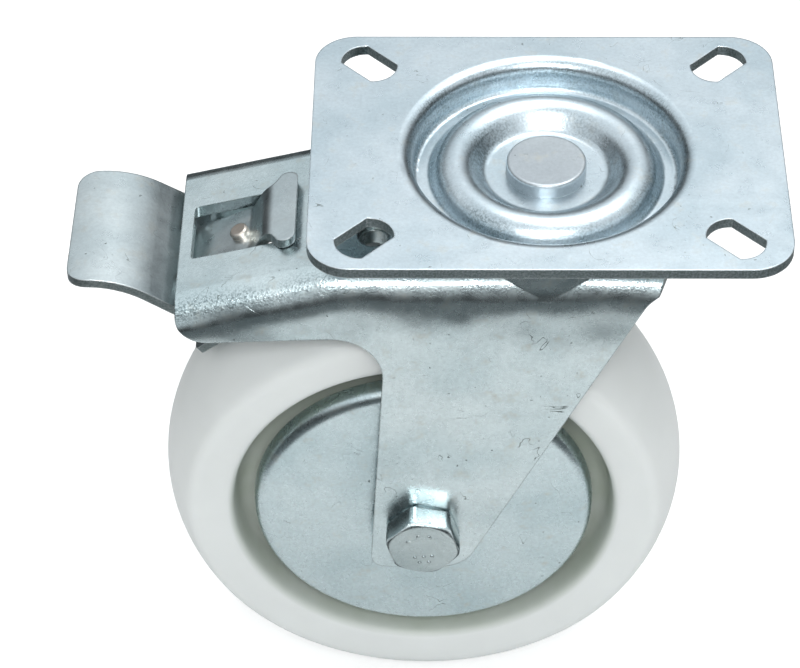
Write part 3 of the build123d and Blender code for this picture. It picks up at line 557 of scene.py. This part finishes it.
class CASTOR_OT_axle(bpy.types.Operator):
    """Make the axle bolt with its marked head and cut thread, and the lock nut with its nylon ring"""
    bl_idname = "castor.axle"
    bl_label = "Axle bolt and nut"

    def execute(self, context):
        look, size = context.scene.castor_finishes, context.scene.castor_sizes
        plated = zinc_finish("zinc_plated_bolt", look.bolt_pale, look.bolt_deep, look.fork_stain,
                             roughness=0.26, bend_grain_and_shade=0.25, specks=0.7, scratches=0.5)
        self.bolt(size, plated)
        self.head_marks(plated)
        self.nut(size, plated)
        dress("nut_washer", plated)
        for node in ("axle_tube", "distance_sleeve", "distance_ring_near", "distance_ring_far"):
            dress(node, plated)
        return {"FINISHED"}

    def bolt(self, size, material):
        """Head, plain shank and thread in one surface, its rows along the axle."""
        angle = np.linspace(0, 2 * math.pi, 192, endpoint=False)
        shank = 5 * MM
        seat, start = BOLT_BOX[0].y + size.head_height, BOLT_BOX[1].y - size.thread_length
        head_radius, head_along = self.head_rows(size, angle, shank, seat)
        thread_radius, thread_along = self.thread_rows(size, angle, shank, start)
        plain = np.array([seat + 0.1 * MM, start - 0.4 * MM])
        radius = np.concatenate([head_radius, np.full((2, len(angle)), shank), thread_radius])
        along = np.concatenate([head_along, np.repeat(plain[:, None], len(angle), 1), thread_along])
        # The rows run from the thread's end to the head, so that the faces point outwards.
        surface("axle_bolt_cut", around_axle(radius, along, angle)[::-1], "fork_assembly",
                material, ("axle_bolt",))

    def head_rows(self, size, angle, shank, seat):
        """The head's rows, from the middle of its face to its seat.

        A row's radius is the outline's, but never more than the hexagon's reach, and on the chamfer cone
        the height follows the radius that the hexagon leaves.
        """
        head_top = BOLT_BOX[0].y
        flat, corner = size.across_flats / 2, size.across_flats / 2 / math.cos(math.pi / 6)
        slope = math.tan(math.radians(28))
        chamfer = 0.955 * flat
        head = eased([(0.2 * MM, head_top, 0), (chamfer, head_top, 0.25 * MM),
                      (corner, head_top + (corner - chamfer) * slope, 0.2 * MM),
                      (corner, seat - 0.5 * MM, 0.1 * MM), (flat * 0.98, seat - 0.5 * MM, 0.05 * MM),
                      (flat * 0.96, seat, 0.05 * MM), (shank, seat, 0)], 5)
        disc = np.stack([np.linspace(0.2 * MM, chamfer * 0.95, 6), np.full(6, head_top)], 1)
        outline = np.concatenate([disc, head[1:]])
        reach = hexagon_reach(angle, size.across_flats, size.hexagon_turn)
        radius = np.minimum(outline[:, :1], reach[None, :])
        cone = head_top + np.maximum(radius - chamfer, 0) * slope
        along = np.repeat(outline[:, 1:], len(angle), 1)
        on_cone = outline[:, 1:] < head_top + (corner - chamfer) * slope + 0.3 * MM
        return radius, np.where(on_cone, np.minimum(along, np.maximum(cone, head_top)), along)

    def thread_rows(self, size, angle, shank, start):
        """The thread's rows, from its run-out to the middle of the bolt's end.

        The radius dips by a triangle wave of the place over the pitch less the angle's share of a turn.
        The end is chamfered by 1.1 mm.
        """
        end = BOLT_BOX[1].y
        rows = np.linspace(start, end, int(size.thread_length / size.thread_pitch * 14))
        phase = (rows[:, None] / size.thread_pitch - angle[None, :] / (2 * math.pi)) % 1
        groove = np.minimum(1 - np.abs(2 * phase - 1), 0.88) * 0.86 * MM
        run_out = np.clip((rows - start) / (1.2 * MM), 0, 1)[:, None]
        thread = shank - groove * run_out
        thread = np.minimum(thread, shank - np.maximum(rows - (end - 1.1 * MM), 0)[:, None])
        radius = np.concatenate([thread, np.full((1, len(angle)), 0.3 * MM)])
        along = np.concatenate([np.repeat(rows[:, None], len(angle), 1), np.full((1, len(angle)), end)])
        return radius, along

    def head_marks(self, material):
        """Raised plain dots and short bars on the head's face.

        Each mark is a low dome: an ellipse in the face, whose height falls with the cube of the share
        from its middle to its rim, and whose rim lies 0.02 mm inside the head.
        """
        ring = np.linspace(0, 2 * math.pi, 20, endpoint=False)
        share = np.array([0.1, 0.5, 0.8, 0.95, 1.0])
        for number, (x, z, long_half, short_half, turn) in enumerate(HEAD_MARKS):
            turn = math.radians(turn)
            u = share[:, None] * long_half * np.cos(ring)
            v = share[:, None] * short_half * np.sin(ring)
            height = np.repeat((0.36 * (1 - share ** 3))[:, None], len(ring), 1) - 0.02
            points = np.stack([AXLE_X + MM * (x + u * math.cos(turn) - v * math.sin(turn)),
                               BOLT_BOX[0].y - MM * height,
                               AXLE_Z + MM * (z + u * math.sin(turn) + v * math.cos(turn))], -1)
            surface(f"bolt_head_mark_{number + 1}", points[::-1], "fork_assembly", material)

    def nut(self, size, material):
        """The pressed steel nut and the nylon ring in its collar.

        Rows run round a section, from the bore over the seat, the flats and the collar and back into the
        bore. The radius is the section's, but never more than the hexagon's reach.
        """
        angle = np.linspace(0, 2 * math.pi, 192, endpoint=False)
        seat, top = NUT_BOX[0].y, NUT_BOX[1].y
        flat, corner = size.across_flats / 2, size.across_flats / 2 / math.cos(math.pi / 6)
        collar = 2.6 * MM
        bore = 5.05 * MM
        section = eased([(bore, seat + 0.3 * MM, 0), (flat * 0.94, seat, 0.1 * MM),
                         (corner, seat + 0.9 * MM, 0.15 * MM), (corner, top - collar - 0.8 * MM, 0.15 * MM),
                         (flat * 0.93, top - collar, 0.3 * MM), (flat * 0.86, top - 0.7 * MM, 0.5 * MM),
                         (flat * 0.8, top, 0.3 * MM), (6.0 * MM, top - 0.3 * MM, 0.2 * MM),
                         (5.9 * MM, top - 2.2 * MM, 0.2 * MM), (bore, top - 2.4 * MM, 0.05 * MM),
                         (bore, seat + 0.6 * MM, 0)], 5)
        reach = hexagon_reach(angle, size.across_flats, size.nut_turn)
        radius = np.minimum(section[:, :1], reach[None, :])
        surface("lock_nut_pressed", around_axle(radius, section[:, 1:], angle)[::-1], "fork_assembly",
                material, ("lock_nut",))
        ring = eased([(5.1 * MM, top - 2.3 * MM, 0), (5.85 * MM, top - 2.2 * MM, 0.05 * MM),
                      (5.95 * MM, top - 0.6 * MM, 0.2 * MM), (5.1 * MM, top - 0.7 * MM, 0.2 * MM),
                      (5.05 * MM, top - 2.2 * MM, 0)], 4)
        surface("lock_nut_nylon_ring", around_axle(ring[:, :1], ring[:, 1:], angle)[::-1], "fork_assembly",
                insert_finish("moulded_polyamide_ring", "#C9D3D6"))


class CASTOR_OT_wheel(bpy.types.Operator):
    """Finish the nylon wheel and its two ball bearings"""
    bl_idname = "castor.wheel"
    bl_label = "Wheel and bearings"

    def execute(self, context):
        look = context.scene.castor_finishes
        dress("wheel", nylon_finish("moulded_nylon_6", look.nylon_face, look.nylon_groove_shade))
        ground = bearing_finish("ground_bearing_steel", "#A7ABAD")
        cage = bearing_finish("pressed_brass_cage", "#A98F5C")
        for side in ("near", "far"):
            dress(f"bearing_inner_ring_{side}", ground)
            dress(f"bearing_outer_ring_{side}", ground)
            dress(f"bearing_balls_{side}", ground)
            dress(f"bearing_cage_{side}", cage)
        return {"FINISHED"}


class CASTOR_OT_thread_guards(bpy.types.Operator):
    """Finish the two thread guards"""
    bl_idname = "castor.thread_guards"
    bl_label = "Thread guards"

    def execute(self, context):
        look = context.scene.castor_finishes
        guard = zinc_finish("zinc_plated_thread_guard", look.guard_pale, look.guard_deep, look.fork_stain,
                            roughness=0.27, bend_grain_and_shade=0.5, specks=0.5, scratches=0.8)
        dress("thread_guard_near", guard)
        dress("thread_guard_far", guard)
        return {"FINISHED"}


class CASTOR_OT_brake(bpy.types.Operator):
    """Finish the brake pedal, its shoe and rivet, and the spring that holds it"""
    bl_idname = "castor.brake"
    bl_label = "Brake"

    def execute(self, context):
        look = context.scene.castor_finishes
        pedal = zinc_finish("zinc_plated_pedal", look.rocker_pale, look.rocker_deep, look.plate_stain,
                            roughness=0.3, specks=1.4, scratches=0.9, bend_grain_and_shade=0.3,
                            cut=((0.0, 1.0, 0.0), 0.8, 0))
        for node in ("brake_rocker", "brake_shoe"):
            dress(node, pedal)
        dress("brake_rivet", zinc_finish("copper_washed_rivet", look.rivet_pale, look.rivet_deep,
                                         look.fork_stain, roughness=0.34, bend_grain_and_shade=0.4))
        spring = zinc_finish("zinc_plated_spring", look.fork_pale, look.fork_deep, look.fork_stain,
                             roughness=0.3)
        dress("rocker_spring", spring)
        dress("spring_rivets", spring)
        return {"FINISHED"}


class CASTOR_OT_stage(bpy.types.Operator):
    """Make the floor, the lights, the world and the camera"""
    bl_idname = "castor.stage"
    bl_label = "Stage"

    def execute(self, context):
        stage = context.scene.castor_stage
        self.floor(stage)
        self.world(context.scene)
        self.lamp("soft_box_over_camera", (0.0, -0.95, 0.95), 0.55, 0.3, stage.key_power)
        self.lamp("soft_box_overhead", (0.25, 0.35, 1.25), 0.9, 0.7, stage.top_power)
        self.camera(context.scene, stage)
        context.scene.view_settings.view_transform = "Standard"
        return {"FINISHED"}

    def floor(self, stage):
        """One large pale quad under the wheel. The camera sees it white, with the castor's shadow kept.

        Polished metal sees it darken between 0.18 and 0.25 m from the castor.
        """
        half = 3.0
        mesh = bpy.data.meshes.new("studio_floor")
        mesh.from_pydata([(-half, -half, FLOOR_Z), (half, -half, FLOOR_Z), (half, half, FLOOR_Z),
                          (-half, half, FLOOR_Z)], [], [(0, 1, 2, 3)])
        material, tree = new_material("painted_studio_floor")
        path = add_node(tree, "ShaderNodeLightPath", out="Is Camera Ray")
        place = add_node(tree, "ShaderNodeTexCoord", out="Object")
        away = add_node(tree, "ShaderNodeVectorMath", {0: place, 1: (0.0, 0.0, FLOOR_Z)}, out="Value",
                        operation="DISTANCE")
        dusk = add_node(tree, "ShaderNodeMapRange", {0: away, 1: 0.18, 2: 0.25, 3: 0.0, 4: 0.95},
                        interpolation_type="SMOOTHSTEP")
        dusk = add_node(tree, "ShaderNodeMath", {0: dusk, 1: path.node.outputs["Is Glossy Ray"]},
                        operation="MULTIPLY")
        tone = blend(tree, dusk, stage.floor_colour, linear("#2A3437"))
        paint = add_node(tree, "ShaderNodeBsdfPrincipled", {"Base Color": tone, "Roughness": 0.9})
        glow = add_node(tree, "ShaderNodeEmission", {"Color": (1.0, 1.0, 1.0, 1.0), "Strength": 0.42})
        lit = add_node(tree, "ShaderNodeAddShader", {0: paint, 1: glow})
        seen = add_node(tree, "ShaderNodeMixShader", {0: path, 1: paint, 2: lit})
        add_node(tree, "ShaderNodeOutputMaterial", {"Surface": seen})
        mesh.materials.append(material)
        floor = bpy.data.objects.new("studio_floor", mesh)
        bpy.context.scene.collection.objects.link(floor)

    def world(self, scene):
        """White to the camera; to metal it is a white studio with a dark band round the horizon."""
        world = bpy.data.worlds.new("pale_studio")
        scene.world = world
        world.use_nodes = True
        tree = world.node_tree
        tree.nodes.clear()
        ray = add_node(tree, "ShaderNodeLightPath", out="Is Camera Ray")
        glossy = ray.node.outputs["Is Glossy Ray"]
        direction = add_node(tree, "ShaderNodeTexCoord", out="Generated")
        height = add_node(tree, "ShaderNodeSeparateXYZ", {0: direction}, out=2)
        band = add_node(tree, "ShaderNodeMapRange", {0: height, 1: 0.30, 2: 0.58, 3: 0.04, 4: 1.0},
                        interpolation_type="SMOOTHSTEP")
        reflected = add_node(tree, "ShaderNodeBackground",
                             {"Color": (0.92, 0.97, 1.0, 1.0), "Strength": band})
        seen = add_node(tree, "ShaderNodeBackground", {"Color": (1.0, 1.0, 1.0, 1.0), "Strength": 1.0})
        light = add_node(tree, "ShaderNodeBackground", {"Color": (0.97, 0.99, 1.0, 1.0), "Strength": 0.55})
        mix = add_node(tree, "ShaderNodeMixShader", {0: glossy, 1: light, 2: reflected})
        mix = add_node(tree, "ShaderNodeMixShader", {0: ray, 1: mix, 2: seen})
        add_node(tree, "ShaderNodeOutputWorld", {"Surface": mix})

    def lamp(self, name, place, width, depth, power):
        """A soft box that faces the castor."""
        light = bpy.data.lights.new(name, "AREA")
        light.shape, light.size, light.size_y, light.energy = "RECTANGLE", width, depth, power
        lamp = bpy.data.objects.new(name, light)
        bpy.context.scene.collection.objects.link(lamp)
        towards = -np.array(place) + np.array([AXLE_X, 0.0, -0.05])
        lamp.location = place
        lamp.rotation_euler = (math.atan2(math.hypot(towards[0], towards[1]), -towards[2]), 0.0,
                               math.atan2(-towards[0], towards[1]))

    def camera(self, scene, stage):
        """Looks along the azimuth and elevation, rolled about its line of sight."""
        a, e, r = stage.azimuth, stage.elevation, stage.roll
        back = np.array([math.sin(a) * math.cos(e), -math.cos(a) * math.cos(e), math.sin(e)])
        right = np.cross([0.0, 0.0, 1.0], back)
        right /= np.linalg.norm(right)
        up = np.cross(back, right)
        right, up = right * math.cos(r) + up * math.sin(r), up * math.cos(r) - right * math.sin(r)
        camera = bpy.data.objects.new("castor_camera", bpy.data.cameras.new("castor_camera"))
        scene.collection.objects.link(camera)
        matrix = np.eye(4)
        matrix[:3, 0], matrix[:3, 1], matrix[:3, 2] = right, up, back
        matrix[:3, 3] = stage.camera_place
        camera.matrix_world = Matrix(matrix.tolist())
        camera.data.sensor_width, camera.data.lens = 36.0, stage.lens
        camera.data.clip_start, camera.data.clip_end = 0.01, 20.0
        scene.camera = camera


class CASTOR_PT_panel(bpy.types.Panel):
    """Lists the castor's pieces and their settings"""
    bl_label = "Castor"
    bl_idname = "CASTOR_PT_panel"
    bl_space_type = "VIEW_3D"
    bl_region_type = "UI"
    bl_category = "Castor"

    def draw(self, context):
        for step in OPERATORS:
            self.layout.operator(step.bl_idname)
        for group in (context.scene.castor_finishes, context.scene.castor_sizes, context.scene.castor_stage):
            box = self.layout.box()
            for key in group.bl_rna.properties.keys():
                if key not in ("rna_type", "name"):
                    box.prop(group, key)


GROUPS = (CastorFinishes, CastorSizes, CastorStage)
OPERATORS = (CASTOR_OT_mounting_plate, CASTOR_OT_fork, CASTOR_OT_axle, CASTOR_OT_wheel,
             CASTOR_OT_thread_guards, CASTOR_OT_brake, CASTOR_OT_stage)


def register():
    for item in (*GROUPS, *OPERATORS, CASTOR_PT_panel):
        bpy.utils.register_class(item)
    bpy.types.Scene.castor_finishes = bpy.props.PointerProperty(type=CastorFinishes)
    bpy.types.Scene.castor_sizes = bpy.props.PointerProperty(type=CastorSizes)
    bpy.types.Scene.castor_stage = bpy.props.PointerProperty(type=CastorStage)


def unregister():
    del bpy.types.Scene.castor_stage
    del bpy.types.Scene.castor_sizes
    del bpy.types.Scene.castor_finishes
    for item in reversed((*GROUPS, *OPERATORS, CASTOR_PT_panel)):
        bpy.utils.unregister_class(item)


def main():
    register()
    bpy.ops.castor.mounting_plate()
    bpy.ops.castor.fork()
    bpy.ops.castor.axle()
    bpy.ops.castor.wheel()
    bpy.ops.castor.thread_guards()
    bpy.ops.castor.brake()
    bpy.ops.castor.stage()


if __name__ == "__main__":
    main()
